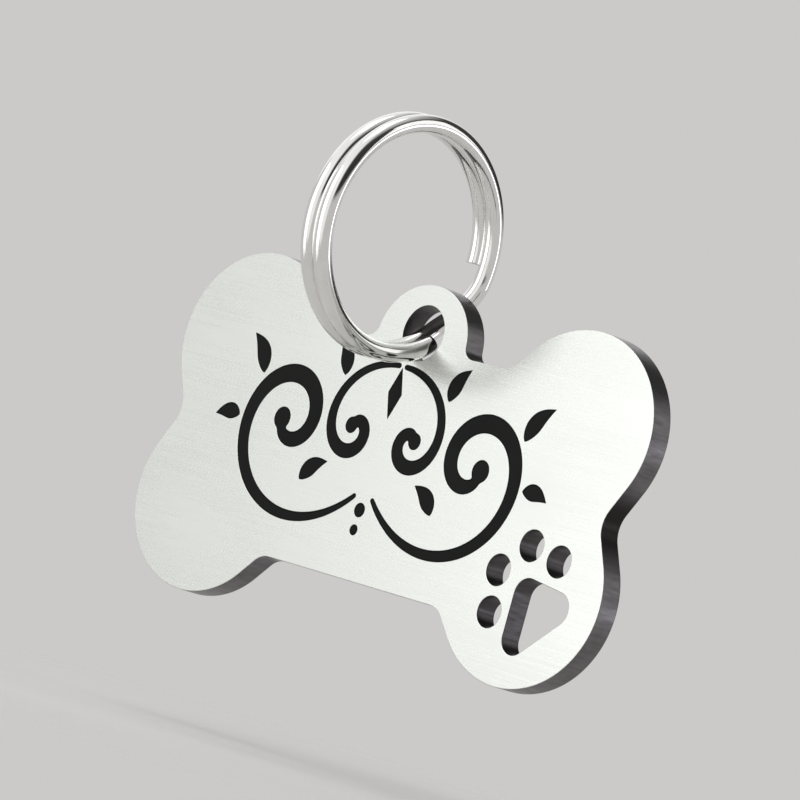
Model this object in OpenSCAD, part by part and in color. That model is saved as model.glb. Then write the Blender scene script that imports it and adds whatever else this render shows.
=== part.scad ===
// Bone-shaped pet id tag on a split ring.
// Lengths are millimetres and angles are degrees.
// +X is the tag's right seen from the front, +Y is the back, +Z is up.
// The origin is the centre of the bone, on the plate's flat back face.

/* [Plate] */
// Length of the bone over its lobes
tag_len = 55; // [50:0.5:62]
// Height of the bone over its lobes, without the lug
tag_h = 28.9; // [27:0.1:33]
// Thickness of the sheet that the plate is cut from
plate_t = 2; // [1.2:0.1:2.4]
// Width of one lobe
lobe_w = 17.1; // [16:0.1:18.5]
// Height of one lobe
lobe_h = 15.6; // [14.6:0.1:16.5]
// Height of the bone at its straight waist
waist_h = 19.6; // [18:0.1:21]
// Distance from a lobe's centre in to the end of the waist's straight stretch
shoulder = 9.25; // [8.7:0.05:10]
// Radius of the corner between the waist and a lobe
waist_r = 1.8; // [1.2:0.1:2.4]
// Depth of the notch in each end of the bone
notch_depth = 2.3; // [1.2:0.1:3.2]
// Radius of the bottom of an end notch
notch_r = 2.6; // [2:0.1:3.2]

/* [Lug] */
// Width of the lug
lug_w = 10.35; // [9.5:0.05:11.5]
// Height of the lug's top over the middle of the bone
lug_top = 14.95; // [14.3:0.05:16]
// Radius of the corner at the foot of the lug
lug_foot_r = 1; // [0.6:0.1:1.4]
// Metal left above the hole that the ring passes through
hole_rim = 1.7; // [1.4:0.1:1.9]

/* [Paw print] */
// Diameter of a toe hole
toe_d = 2.58; // [2:0.02:2.8]
// Distance between the centres of the two inner toes
inner_toe_span = 3.73; // [3.3:0.01:4.2]
// Height of the inner toes over the pad's lower corners
inner_toe_rise = 6.11; // [5.8:0.01:6.6]
// Distance between the centres of the two outer toes
outer_toe_span = 7.74; // [7.2:0.01:8.4]
// Height of the outer toes over the pad's lower corners
outer_toe_rise = 3.4; // [3.2:0.01:3.8]
// Width of the pad
pad_w = 7.22; // [6.4:0.01:7.6]
// Height of the pad
pad_h = 5.36; // [4.8:0.01:5.6]
// Radius of the pad's three corners
pad_corner_r = 1.37; // [1:0.01:1.6]
// How far the print's foot lies outside its lobe's centre
paw_out = 2.4; // [1.6:0.1:3]
// How far the print's foot lies below its lobe's centre
paw_down = 2.2; // [1.6:0.1:3]
// Turn of the print, anticlockwise seen from the front
paw_turn = 42.6; // [30:0.1:55]

/* [Engraving] */
// Width of the whole scroll ornament
ornament_w = 36; // [32:0.5:38]
// How far the ornament's middle lies left of the bone's middle
ornament_left = 1.1; // [0:0.1:2]
// How far the ornament's middle lies above the bone's middle
ornament_up = 1; // [0:0.1:1.4]
// Depth of the engraved channels
engrave_depth = 0.4; // [0.2:0.05:0.8]
// How far the enamel's face lies below the plate's face
enamel_low = 0.05; // [0.02:0.01:0.1]
// Room between the enamel and the sides of its channel
enamel_gap = 0.02; // [0.01:0.01:0.04]
// Width of an outer scroll's stroke where it is broadest
outer_stroke_w = 1.56; // [1.2:0.02:1.7]
// Width of an inner scroll's stroke where it is broadest
inner_stroke_w = 1.24; // [1:0.02:1.4]
// Width of a stroke at its fine end
stroke_tip_w = 0.4; // [0.3:0.02:0.5]
// Diameter of the ball at the eye of an outer scroll
outer_ball_d = 1.9; // [1.7:0.05:2.1]
// Diameter of the ball at the eye of an inner scroll
inner_ball_d = 1.4; // [1.3:0.05:1.5]
// Width of the diamond in the middle
diamond_w = 1.6; // [1.2:0.05:2]
// Height of the diamond in the middle
diamond_h = 4.4; // [3.6:0.1:4.8]
// Diameter of the upper dot below the diamond
upper_dot_d = 1.2; // [0.9:0.05:1.4]
// Diameter of the lower dot
lower_dot_d = 0.9; // [0.7:0.05:1]

/* [Split ring] */
// Outer diameter of the ring
ring_od = 20; // [19.6:0.1:21]
// Diameter of the wire
wire_d = 1.5; // [1.2:0.05:1.5]
// Free gap between the two coils
coil_gap = 0.42; // [0.42:0.01:0.5]
// How far the ring's centre lies in front of the middle of the sheet
ring_lead = 6.2; // [5.6:0.05:6.4]
// How far below the hole's centre the wire passes the middle of the sheet
ring_low = 0.2; // [0.1:0.02:0.3]
// Free gap between the wire and the edge of its hole, where they come closest
hole_play = 0.08; // [0.05:0.01:0.15]

/* [Hidden] */
$fn = 48;

// Overrun of every cut past the face that it leaves through
cut = 0.5;

// The bone is drawn with circles and then drawn wider by this much, so its lobes are ovals
oval = lobe_w / lobe_h;
lobe_r = lobe_h / 2;
lobe_x = (tag_len - lobe_w) / 2;
lobe_z = (tag_h - lobe_h) / 2;
waist_z = waist_h / 2;
lug_r = lug_w / 2 / oval;
lug_z = lug_top - lug_r;
// Steps along a small corner and along a long arc of the outline
corner_steps = 5;
arc_steps = 26;

// Places and sizes of the ornament's parts, as shares of its width
outer_scroll_share = [0.303, 0.019];
outer_eye_share = 0.028;
outer_grow_share = 0.131;
outer_flare_share = 0.147;
outer_scroll_tail = 205;
outer_scroll_turn = 500;
inner_scroll_share = [0.093, 0.028];
inner_eye_share = 0.015;
inner_grow_share = 0.061;
inner_flare_share = 0.111;
inner_scroll_tail = 118;
inner_scroll_turn = -440;
// How suddenly a scroll's tail opens, and how its stroke swells
flare_power = 6;
swell_start = 0.9;
swell_power = 0.7;
scroll_steps = 54;
// Each leaf: place of its stalk, length and width as shares, then its turn and its bend
leaf_shares = [
    [0.172, 0.142, 0.092, 0.042, 62, 0.12],
    [0.433, 0.100, 0.108, 0.044, 52, 0.12],
    [0.471, -0.006, 0.080, 0.038, -8, 0.10],
    [0.219, -0.112, 0.092, 0.042, 143, -0.12]];
leaf_steps = 14;
diamond_share = 0.130;
upper_dot_share = -0.142;
lower_dot_share = -0.188;

// Ring: angle 0 points to the back, 90 points up, and the wire runs on past 360
ring_r = (ring_od - wire_d) / 2;
ring_y = -plate_t / 2 - ring_lead;
ring_lift = sqrt(pow(ring_r, 2) - pow(ring_lead, 2)) - ring_low;
coil_shift = (wire_d + coil_gap) / 2;
left_end = 0;
right_end = 668;
step_over_from = 316;
step_over_to = 352;
// Cross-sections in one loop of the wire, and sides of each
loop_rings = 24;
wire_sides = 6;
ring_steps = ceil((right_end - left_end) / 360 * loop_rings);

function unit(angle) = [cos(angle), sin(angle)];

// Centre of the wire at an angle: it runs in the left coil, steps over, and runs in the right coil
function smooth_step(t) = t * t * (3 - 2 * t);
function wire_shift(angle) =
    let (t = max(0, min(1, (angle - step_over_from) / (step_over_to - step_over_from))))
    coil_shift * (2 * smooth_step(t) - 1);

// How far from the hole's axis the skin of both coils reaches where it passes a plane
function wire_reach(plane_y) = max(
    [for (b = [0 : 360 / $fn : 360])
        let (r = ring_r + wire_d / 2 * sin(b), angle = 360 - acos((plane_y - ring_y) / r))
        for (a = [angle, min(angle + 360, right_end)])
        norm([wire_shift(a) + wire_d / 2 * cos(b), ring_lift + r * sin(a)])]);

// The hole clears the wire on both faces of the sheet
hole_d = 2 * (max(wire_reach(-plate_t), wire_reach(0)) + hole_play);
hole_z = lug_top - hole_rim - hole_d / 2;
ring_z = hole_z + ring_lift;

// Points on a circle from one angle to another
function arc(centre, r, from, to, steps) =
    [for (i = [0 : steps]) centre + r * unit(from + (to - from) * i / steps)];

// Angle on circle a where a line touches it that crosses over to the far side of circle b
function crossing_angle(a, ra, b, rb, side) =
    let (d = b - a) atan2(d[1], d[0]) + side * acos(min(1, (ra + rb) / norm(d)));

function flip_x(p) = [for (i = [len(p) - 1 : -1 : 0]) [-p[i][0], p[i][1]]];
function flip_z(p) = [for (i = [len(p) - 1 : -1 : 0]) [p[i][0], -p[i][1]]];
function widen(p) = [for (q = p) [q[0] * oval, q[1]]];

// A quarter of the bone, drawn with circles, from the bottom of the right notch to the waist
lobe_c = [lobe_x / oval, lobe_z];
notch_c = [(tag_len / 2 - notch_depth) / oval + notch_r, 0];
waist_c = [(lobe_x - shoulder) / oval, waist_z + waist_r];
notch_angle = crossing_angle(lobe_c, lobe_r, notch_c, notch_r, 1);
waist_angle = crossing_angle(lobe_c, lobe_r, waist_c, waist_r, -1);
bone_quarter = concat(
    arc(notch_c, notch_r, 180, notch_angle + 180, corner_steps),
    arc(lobe_c, lobe_r, notch_angle, waist_angle, arc_steps),
    arc(waist_c, waist_r, waist_angle + 180, 270, corner_steps));

// Right half of the lug, from its foot to its top
foot_z = waist_z + lug_foot_r;
foot_c = [sqrt(pow(lug_r + lug_foot_r, 2) - pow(foot_z - lug_z, 2)), foot_z];
foot_angle = atan2(foot_z - lug_z, foot_c[0]);
lug_half = concat(
    arc(foot_c, lug_foot_r, 270, foot_angle + 180, corner_steps),
    arc([0, lug_z], lug_r, foot_angle, 90, arc_steps / 2));

// All points but the first, so that joined stretches share no point
function rest(p) = [for (i = [1 : len(p) - 1]) p[i]];

upper_right = concat(bone_quarter, lug_half);
bone_outline = widen(concat(
    upper_right,
    rest(flip_x(upper_right)),
    rest(flip_x(flip_z(bone_quarter))),
    [for (i = [0 : len(bone_quarter) - 2]) flip_z(bone_quarter)[i]]));

// Turns a drawing in X and Z into a slab that starts this far in front of the back face
module slab(from_back, thickness) {
    rotate([90, 0, 0]) translate([0, 0, from_back]) linear_extrude(thickness) children();
}

module both_sides() {
    children();
    mirror([1, 0, 0]) children();
}

// Triangle with round corners: three discs and the straight-sided shape between them
module pad() {
    across = pad_w / 2 - pad_corner_r;
    up = pad_h - 2 * pad_corner_r;
    side_angle = atan2(across, up);
    side = pad_corner_r * unit(side_angle);
    low = [0, -pad_corner_r];
    translate([0, up]) circle(pad_corner_r);
    both_sides() translate([across, 0]) circle(pad_corner_r);
    polygon([[across, 0] + low, [across, 0] + side, [0, up] + side,
             [-side[0], up + side[1]], [-across - side[0], side[1]], [-across, 0] + low]);
}

module paw_print() {
    translate([lobe_x + paw_out, -lobe_z - paw_down]) rotate(paw_turn) {
        pad();
        both_sides() {
            translate([inner_toe_span / 2, inner_toe_rise]) circle(d = toe_d);
            translate([outer_toe_span / 2, outer_toe_rise]) circle(d = toe_d);
        }
    }
}

// Left-hand normal of a path at one of its points
function path_normal(p, i) =
    let (d = p[min(i + 1, len(p) - 1)] - p[max(i - 1, 0)]) [-d[1], d[0]] / norm(d);

// A path drawn as a stroke, with half its width given at each point
function ribbon(p, half) = concat(
    [for (i = [0 : len(p) - 1]) p[i] + half[i] * path_normal(p, i)],
    [for (i = [len(p) - 1 : -1 : 0]) p[i] - half[i] * path_normal(p, i)]);

// A spiral from its eye to its tail, whose radius grows steadily and then flares
function scroll_path(shares, eye, grow, flare, tail, turn) =
    [for (i = [0 : scroll_steps])
        let (t = i / scroll_steps, r = eye + grow * t + flare * pow(t, flare_power))
        ornament_w * (shares + r * unit(tail + turn * (1 - t)))];

function stroke_halves(broad, less) =
    [for (i = [0 : scroll_steps])
        let (swell = pow(max(0, sin(180 * pow(i / scroll_steps, swell_start))), swell_power))
        (stroke_tip_w + (broad - stroke_tip_w) * swell) / 2 - less];

outer_path = scroll_path(outer_scroll_share, outer_eye_share, outer_grow_share, outer_flare_share,
                         outer_scroll_tail, outer_scroll_turn);
inner_path = scroll_path(inner_scroll_share, inner_eye_share, inner_grow_share, inner_flare_share,
                         inner_scroll_tail, inner_scroll_turn);

// A path whose last point is drawn back along it
function drawn_back(p, less) =
    let (n = len(p) - 1, d = p[n] - p[n - 1])
    concat([for (i = [0 : n - 1]) p[i]], [p[n] - less * d / norm(d)]);

// One side of a stroke, only where the full stroke is clear of the ball at the path's start
function stroke_side(path, p, full, half, side, ball_r) =
    [for (i = [0 : scroll_steps])
        let (clear = norm(path[i] + side * full[i] * path_normal(path, i) - path[0]) - ball_r)
        if (clear > stroke_tip_w / 4) p[i] + side * half[i] * path_normal(p, i)];

// In the drawings below, less is how much smaller than its channel a piece is all round.
// A scroll is one outline: out along the stroke's left side, back along its right, round the ball
module scroll(path, broad, ball_d, less) {
    p = drawn_back(path, less);
    full = stroke_halves(broad, 0);
    half = stroke_halves(broad, less);
    left = stroke_side(path, p, full, half, 1, ball_d / 2);
    right = stroke_side(path, p, full, half, -1, ball_d / 2);
    left_off = left[0] - p[0];
    right_off = right[0] - p[0];
    from = atan2(right_off[1], right_off[0]);
    mouth = (atan2(left_off[1], left_off[0]) - from + 720) % 360;
    polygon(concat(
        left,
        [for (i = [len(right) - 1 : -1 : 0]) right[i]],
        arc(p[0], ball_d / 2 - less, from, from + mouth - 360, arc_steps)));
}

module outer_scrolls(less) {
    both_sides() scroll(outer_path, outer_stroke_w, outer_ball_d, less);
}

module inner_scrolls(less) {
    both_sides() scroll(inner_path, inner_stroke_w, inner_ball_d, less);
}

// A leaf with a pointed tip: its width follows half a sine wave and its spine bows by bend
module leaf(shares, less) {
    length = shares[2] * ornament_w;
    spine = [for (i = [0 : leaf_steps])
        let (x = less + (length - 2 * less) * i / leaf_steps)
        [x, length * shares[5] * sin(180 * x / length)]];
    half = [for (i = [0 : leaf_steps])
        max(0, shares[3] * ornament_w / 2 * sin(180 * pow(i / leaf_steps, 3 / 4)) - less)];
    translate(ornament_w * [shares[0], shares[1]]) rotate(shares[4]) polygon(ribbon(spine, half));
}

module leaves(less) {
    both_sides() for (shares = leaf_shares) leaf(shares, less);
}

module diamond(less) {
    side_away = diamond_w * diamond_h / norm([diamond_w, diamond_h]) / 2;
    corners = [[diamond_w, 0], [0, diamond_h], [-diamond_w, 0], [0, -diamond_h]] / 2;
    translate([0, diamond_share * ornament_w]) polygon((1 - less / side_away) * corners);
}

module dots(less) {
    translate([0, upper_dot_share * ornament_w]) circle(upper_dot_d / 2 - less);
    translate([0, lower_dot_share * ornament_w]) circle(lower_dot_d / 2 - less);
}

module on_face() {
    translate([-ornament_left, ornament_up]) children();
}

module tag_plate() {
    color("gainsboro") difference() {
        slab(0, plate_t) polygon(bone_outline);
        slab(-cut, plate_t + 2 * cut) {
            translate([0, hole_z]) circle(d = hole_d);
            paw_print();
        }
        slab(plate_t - engrave_depth, engrave_depth + cut) on_face() {
            outer_scrolls(0);
            inner_scrolls(0);
            leaves(0);
            diamond(0);
            dots(0);
        }
    }
}

// One colour fill, from the floor of its channel to just below the face
module enamel() {
    color("black") slab(plate_t - engrave_depth, engrave_depth - enamel_low) on_face() children();
}

module enamel_outer_scrolls() { enamel() outer_scrolls(enamel_gap); }
module enamel_inner_scrolls() { enamel() inner_scrolls(enamel_gap); }
module enamel_leaves() { enamel() leaves(enamel_gap); }
module enamel_diamond() { enamel() diamond(enamel_gap); }
module enamel_dots() { enamel() dots(enamel_gap); }

// Centre of the wire at each of its cross-sections, at even angles but for the last
function wire_angle(i) = min(left_end + 360 / loop_rings * i, right_end);
wire_line = [for (i = [0 : ring_steps]) let (a = wire_angle(i))
    [wire_shift(a), ring_y + ring_r * cos(a), ring_z + ring_r * sin(a)]];

// Least gap of the wire to itself, between points that lie more than half a loop apart on it
ring_self_gap = min([for (i = [0 : ring_steps]) for (j = [i + loop_rings / 2 : ring_steps])
    norm(wire_line[i] - wire_line[j])]) - wire_d;
echo("least gap of the ring's wire to itself, mm", ring_self_gap);

// The wire as one unbroken tube, cut square at both ends
module split_ring() {
    points = [for (i = [0 : ring_steps]) for (j = [0 : wire_sides - 1])
        let (a = wire_angle(i), b = 360 * j / wire_sides)
        wire_line[i] + wire_d / 2 * (cos(b) * [1, 0, 0] + sin(b) * [0, cos(a), sin(a)])];
    walls = [for (i = [0 : ring_steps - 1]) for (j = [0 : wire_sides - 1])
        let (k = (j + 1) % wire_sides, p = i * wire_sides, q = p + wire_sides)
        each [[p + j, q + j, q + k], [p + j, q + k, p + k]]];
    last = ring_steps * wire_sides;
    caps = [for (j = [1 : wire_sides - 2]) each [[0, j, j + 1], [last, last + j + 1, last + j]]];
    color("silver") polyhedron(points, concat(walls, caps));
}

tag_plate();
enamel_outer_scrolls();
enamel_inner_scrolls();
enamel_leaves();
enamel_diamond();
enamel_dots();
split_ring();
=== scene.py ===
# %% [markdown]
# A bone-shaped steel pet id tag with its split ring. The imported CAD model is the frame: it says
# where every piece is. This notebook gives each piece the surface that a close look needs.
# The sizes of pieces are millimetres, and they become metres when a mesh is made. The camera, the
# lamps and the coordinates that a material reads are in metres from the start.

# %% Load the frame
import math

import bpy
import numpy as np
from mathutils import Matrix, Vector
from mathutils.geometry import delaunay_2d_cdt


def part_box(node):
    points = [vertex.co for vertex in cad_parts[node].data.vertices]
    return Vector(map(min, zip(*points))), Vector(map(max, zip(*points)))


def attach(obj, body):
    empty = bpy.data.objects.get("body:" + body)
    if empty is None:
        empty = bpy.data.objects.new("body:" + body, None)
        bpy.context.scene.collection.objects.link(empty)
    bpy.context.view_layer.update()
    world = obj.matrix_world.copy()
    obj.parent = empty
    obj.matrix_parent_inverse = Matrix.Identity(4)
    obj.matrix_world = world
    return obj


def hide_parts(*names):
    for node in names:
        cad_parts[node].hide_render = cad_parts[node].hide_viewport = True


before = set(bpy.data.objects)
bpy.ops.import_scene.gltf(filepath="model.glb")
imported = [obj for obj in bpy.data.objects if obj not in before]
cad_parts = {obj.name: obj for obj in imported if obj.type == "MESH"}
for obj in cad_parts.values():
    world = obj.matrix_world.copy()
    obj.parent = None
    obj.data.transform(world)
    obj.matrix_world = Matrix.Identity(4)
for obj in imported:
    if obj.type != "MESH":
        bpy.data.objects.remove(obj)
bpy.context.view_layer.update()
MM = 0.001
print("CAD nodes:", sorted(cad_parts))

# %% [markdown]
# The camera comes first, because every later choice is judged through it. The photograph was
# taken from low down with a long lens, and the tag leans back in it. In the tag's own upright
# frame that is a camera in front and to the right, almost level, rolled by 17 degrees.
# A constraint could aim the camera at the tag, but it wouldn't hold the roll. So its matrix is
# set, which has the camera's right, up and backward directions as columns.

# %% Camera
CAMERA_PLACE = (0.32942, -0.32005, -0.01162)
CAMERA_RIGHT = (0.6718, 0.6810, 0.2914)
CAMERA_UP = (-0.1771, -0.2344, 0.9559)
CAMERA_LENS, CAMERA_SENSOR, CAMERA_NEAR = 257.0, 36.0, 0.01


def add_object(name, data):
    """A new object in the scene, at the origin."""
    made = bpy.data.objects.new(name, data)
    bpy.context.scene.collection.objects.link(made)
    return made


camera_right = Vector(CAMERA_RIGHT).normalized()
camera_up = Vector(CAMERA_UP)
camera_up = (camera_up - camera_right * camera_right.dot(camera_up)).normalized()
camera_turn = Matrix((camera_right, camera_up, camera_right.cross(camera_up))).transposed()
camera_data = bpy.data.cameras.new("camera")
camera_data.lens = CAMERA_LENS
camera_data.sensor_width = CAMERA_SENSOR
camera_data.clip_start = CAMERA_NEAR
camera = add_object("camera", camera_data)
camera.matrix_world = Matrix.Translation(CAMERA_PLACE) @ camera_turn.to_4x4()
bpy.context.scene.camera = camera
print("camera:", round(Vector(CAMERA_PLACE).length, 3), "m away, rolled by",
      round(math.degrees(math.asin(camera_right.z))), "degrees")

# %% [markdown]
# The tag is laser cut from sheet, so its shape is a drawing: closed loops of points in X and Z.
# A curve object could hold the drawing. Arrays of points are used instead, because the edges, the
# walls and the flat faces are all worked out from them later. Almost every line is an arc.

# %% Arcs
STEP_LENGTH, FEWEST_STEPS = 0.16, 4
SAME_POINT = 1e-6


def unit(degrees):
    """Directions in the drawing for an array of angles: cosine along X and sine along Z."""
    angle = np.radians(degrees)
    return np.stack([np.cos(angle), np.sin(angle)], axis=-1)


def arc(centre, radius, start, end):
    """Points centre + radius * direction, at even angles from start to end, about STEP_LENGTH apart."""
    steps = max(FEWEST_STEPS, math.ceil(abs(math.radians(end - start)) * radius / STEP_LENGTH))
    return np.asarray(centre) + radius * unit(np.linspace(start, end, steps + 1))


def disc(centre, diameter):
    """A full circle without its repeated last point."""
    return arc(centre, diameter / 2, 0, 360)[:-1]


def loop(*stretches):
    """Joins stretches into one closed loop and drops points that repeat their neighbour."""
    points = np.concatenate(stretches)
    gap = np.linalg.norm(points - np.roll(points, 1, axis=0), axis=1)
    return points[gap > SAME_POINT]


def turned(points, degrees):
    """Points turned anticlockwise about the drawing's origin."""
    x, z = unit(degrees)
    return points @ np.array([[x, z], [-z, x]])


print("a circle 10 mm across:", len(disc((0, 0), 10.0)), "points")

# %% [markdown]
# The bone is a chain of circles: the notch in the end, a lobe and the corner of the waist, each
# joined to the next by a straight line that touches both. Their places follow from the sizes of
# the tag. The line crosses over from circle a to circle b. It leaves a at the angle of the line
# between their centres, give or take the angle whose cosine is the sum of the radii over the
# distance. Points placed by hand would be quicker, but a changed size would move them all. The
# bone is drawn with true circles and then widened, because its lobes are a little wider than high.

# %% The bone's outline
TAG_LEN, TAG_H, PLATE_T = 55.0, 28.9, 2.0
LOBE_W, LOBE_H = 17.1, 15.6
WAIST_H, WAIST_R, SHOULDER = 19.6, 1.8, 9.25
NOTCH_DEPTH, NOTCH_R = 2.3, 2.6
LUG_W, LUG_TOP, LUG_FOOT_R, HOLE_RIM = 10.35, 14.95, 1.0, 1.7
HOLE_D = 4.58
HOLE_Z = LUG_TOP - HOLE_RIM - HOLE_D / 2
LOBE_PLACE = ((TAG_LEN - LOBE_W) / 2, (TAG_H - LOBE_H) / 2)


def crossing_angle(a, ra, b, rb, side):
    """Where the line from circle a that crosses over to circle b leaves a.

    It is the direction from a to b, plus side times the arc cosine of (ra + rb) / distance.
    """
    dx, dz = b[0] - a[0], b[1] - a[1]
    reach = min(1.0, (ra + rb) / math.hypot(dx, dz))
    return math.degrees(math.atan2(dz, dx)) + side * math.degrees(math.acos(reach))


def bone_outline():
    """The bone drawn with circles, then widened by the lobes' own proportion."""
    oval = LOBE_W / LOBE_H
    lobe, notch = LOBE_H / 2, ((TAG_LEN / 2 - NOTCH_DEPTH) / oval + NOTCH_R, 0.0)
    lobe_c = (LOBE_PLACE[0] / oval, LOBE_PLACE[1])
    waist_c = ((LOBE_PLACE[0] - SHOULDER) / oval, WAIST_H / 2 + WAIST_R)
    notch_a = crossing_angle(lobe_c, lobe, notch, NOTCH_R, 1)
    waist_a = crossing_angle(lobe_c, lobe, waist_c, WAIST_R, -1)
    quarter = np.concatenate([
        arc(notch, NOTCH_R, 180, notch_a + 180),
        arc(lobe_c, lobe, notch_a, waist_a),
        arc(waist_c, WAIST_R, waist_a + 180, 270)])
    lug_r = LUG_W / 2 / oval
    foot_z = WAIST_H / 2 + LUG_FOOT_R
    foot_rise = foot_z - (LUG_TOP - lug_r)
    foot_x = math.sqrt((lug_r + LUG_FOOT_R) ** 2 - foot_rise ** 2)
    foot_a = math.degrees(math.atan2(foot_rise, foot_x))
    upper = np.concatenate([
        quarter,
        arc((foot_x, foot_z), LUG_FOOT_R, 270, foot_a + 180),
        arc((0, LUG_TOP - lug_r), lug_r, foot_a, 90)])
    points = loop(upper, (upper * [-1, 1])[::-1], quarter * [-1, -1], (quarter * [1, -1])[::-1])
    return points * [oval, 1]


bone = bone_outline()
print("outline:", len(bone), "points,", np.ptp(bone, axis=0).round(2), "mm across")

# %% [markdown]
# The paw print is cut right through the sheet: four round toes and a pad, turned towards the
# corner of the bone. A Boolean modifier could cut it, but it leaves uneven faces round a hole.
# Here each hole is one more loop of the drawing. The pad is a triangle whose corners are arcs.

# %% Paw print and the lug's hole
TOE_D = 2.58
INNER_TOE_SPAN, INNER_TOE_RISE = 3.73, 6.11
OUTER_TOE_SPAN, OUTER_TOE_RISE = 7.74, 3.4
PAD_W, PAD_H, PAD_CORNER_R = 7.22, 5.36, 1.37
PAW_OUT, PAW_DOWN, PAW_TURN = 2.4, 2.2, 42.6
PAW_PLACE = (LOBE_PLACE[0] + PAW_OUT, -LOBE_PLACE[1] - PAW_DOWN)


def pad_outline():
    """Three arcs, each ending where its side begins; the loop closes the straight sides."""
    across, rise = PAD_W / 2 - PAD_CORNER_R, PAD_H - 2 * PAD_CORNER_R
    side = math.degrees(math.atan2(across, rise))
    return loop(
        arc((across, 0), PAD_CORNER_R, -90, side),
        arc((0, rise), PAD_CORNER_R, side, 180 - side),
        arc((-across, 0), PAD_CORNER_R, 180 - side, 270))


toe_pairs = ((INNER_TOE_SPAN, INNER_TOE_RISE), (OUTER_TOE_SPAN, OUTER_TOE_RISE))
toes = [disc((side * span / 2, rise), TOE_D) for span, rise in toe_pairs for side in (-1, 1)]
through_holes = [turned(points, PAW_TURN) + PAW_PLACE for points in toes + [pad_outline()]]
through_holes.append(disc((0, HOLE_Z), HOLE_D))
print("through holes:", len(through_holes), "with", [len(points) for points in through_holes], "points")

# %% [markdown]
# The face is engraved, and black enamel fills the engraving. The pattern here is a generic one:
# mirrored scrolls, leaves, a diamond and two dots. A scroll could be a curve with a bevel, but the
# enamel needs flat strokes with sharp walls. So a scroll is a spiral path with half a width at
# every point, which swells and then tapers, plus a ball at its eye, and the joint between the two
# is smoothed. A leaf is a bowed path with a width in the same way.

# %% Strokes and leaves
ORNAMENT_W, ORNAMENT_PLACE = 36.0, (-1.1, 1.0)
STROKE_TIP_W = 0.4
FLARE_POWER, SWELL_START, SWELL_POWER, LEAF_POWER = 6, 0.9, 0.7, 0.75
SCROLL_POINTS, LEAF_POINTS = 260, 40
EASE_SPACING, EASE_REACH = 0.08, 0.7


def side_steps(path):
    """Unit normals to the left of an open path, from the chord between each point's neighbours."""
    chord = np.gradient(path, axis=0)
    chord /= np.linalg.norm(chord, axis=1, keepdims=True)
    return np.stack([-chord[:, 1], chord[:, 0]], axis=1)


def eased(points):
    """Even points along a closed outline, each replaced by the mean of its neighbours.

    A neighbour counts by a raised cosine, which is 1 in the middle and fades to 0 on both sides.
    """
    closed = np.concatenate([points, points[:1]])
    travel = np.insert(np.cumsum(np.linalg.norm(np.diff(closed, axis=0), axis=1)), 0, 0)
    even = np.linspace(0, travel[-1], round(travel[-1] / EASE_SPACING), endpoint=False)
    resampled = np.stack([np.interp(even, travel, closed[:, axis]) for axis in (0, 1)], axis=1)
    side = round(EASE_REACH / EASE_SPACING / 2)
    weights = np.hanning(2 * side + 3)[1:-1]
    shifts = range(-side, side + 1)
    return sum(w * np.roll(resampled, s, axis=0) for w, s in zip(weights / weights.sum(), shifts))


def scroll(centre, eye, grow, flare, tail, turn, broad, ball_d):
    """Spiral radius eye + grow t + flare t^FLARE_POWER at angle tail + turn (1 - t), with t from 0 to 1.

    The stroke's width is its tip's plus the rest times sin(pi t^SWELL_START)^SWELL_POWER. Its sides
    begin where they leave the ball round the first point, and the ball's arc joins them there.
    """
    t = np.linspace(0, 1, SCROLL_POINTS)
    radius = (eye + grow * t + flare * t ** FLARE_POWER)[:, None]
    path = ORNAMENT_W * (np.array(centre) + radius * unit(tail + turn * (1 - t)))
    swell = np.clip(np.sin(np.pi * t ** SWELL_START), 0, None) ** SWELL_POWER
    half = ((STROKE_TIP_W + (broad - STROKE_TIP_W) * swell) / 2)[:, None]
    step = side_steps(path)
    sides = [path + half * step, path - half * step]
    left, right = [side[np.linalg.norm(side - path[0], axis=1) > ball_d / 2 + STROKE_TIP_W / 4]
                   for side in sides]
    end, start = [math.degrees(math.atan2(z, x)) for x, z in (left[0] - path[0], right[0] - path[0])]
    ball = arc(path[0], ball_d / 2, start, start + (end - start) % 360 - 360)
    return eased(np.concatenate([left, right[::-1], ball]))


def leaf(stalk, length, width, turn, bend):
    """A bowed spine, with half the width times sin(pi t^LEAF_POWER) on both sides, pointed at its ends."""
    t = np.linspace(0, 1, LEAF_POINTS)
    spine = ORNAMENT_W * length * np.stack([t, bend * np.sin(np.pi * t)], axis=1)
    half = (ORNAMENT_W * width / 2 * np.sin(np.pi * t ** LEAF_POWER))[:, None]
    step = side_steps(spine)
    outline = loop(spine + half * step, (spine - half * step)[::-1])
    return turned(outline, turn) + np.array(stalk) * ORNAMENT_W


print("a leaf:", len(leaf((0, 0), 0.1, 0.04, 0, 0)), "points")

# %% [markdown]
# Now the ornament itself. Each row below holds shares of the ornament's width, angles in degrees
# and stroke widths in millimetres. Scrolls and leaves are drawn once on the right and mirrored.
# Drawing both halves by hand would let them differ. At the end every loop is made to run
# anticlockwise, because the edges that come next have to know which side of a line is metal.

# %% Ornament
# Centre, eye, growth and flare as shares; the tail's angle and the turn; stroke and ball
OUTER_SCROLL = ((0.303, 0.019), 0.028, 0.131, 0.147, 205, 500, 1.56, 1.9)
INNER_SCROLL = ((0.093, 0.028), 0.015, 0.061, 0.111, 118, -440, 1.24, 1.4)
# Stalk, length and width as shares; turn and bend
LEAVES = (
    ((0.172, 0.142), 0.092, 0.042, 62, 0.12),
    ((0.433, 0.100), 0.108, 0.044, 52, 0.12),
    ((0.471, -0.006), 0.080, 0.038, -8, 0.10),
    ((0.219, -0.112), 0.092, 0.042, 143, -0.12))
DIAMOND_SHARE, DIAMOND_W, DIAMOND_H = 0.130, 1.6, 4.4
DIAMOND_SIDE_STEPS = 8
# Height as a share, and diameter
DOTS = ((-0.142, 1.2), (-0.188, 0.9))


def both_sides(points):
    """The outline and its mirror image."""
    return [points, points * [-1, 1]]


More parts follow.
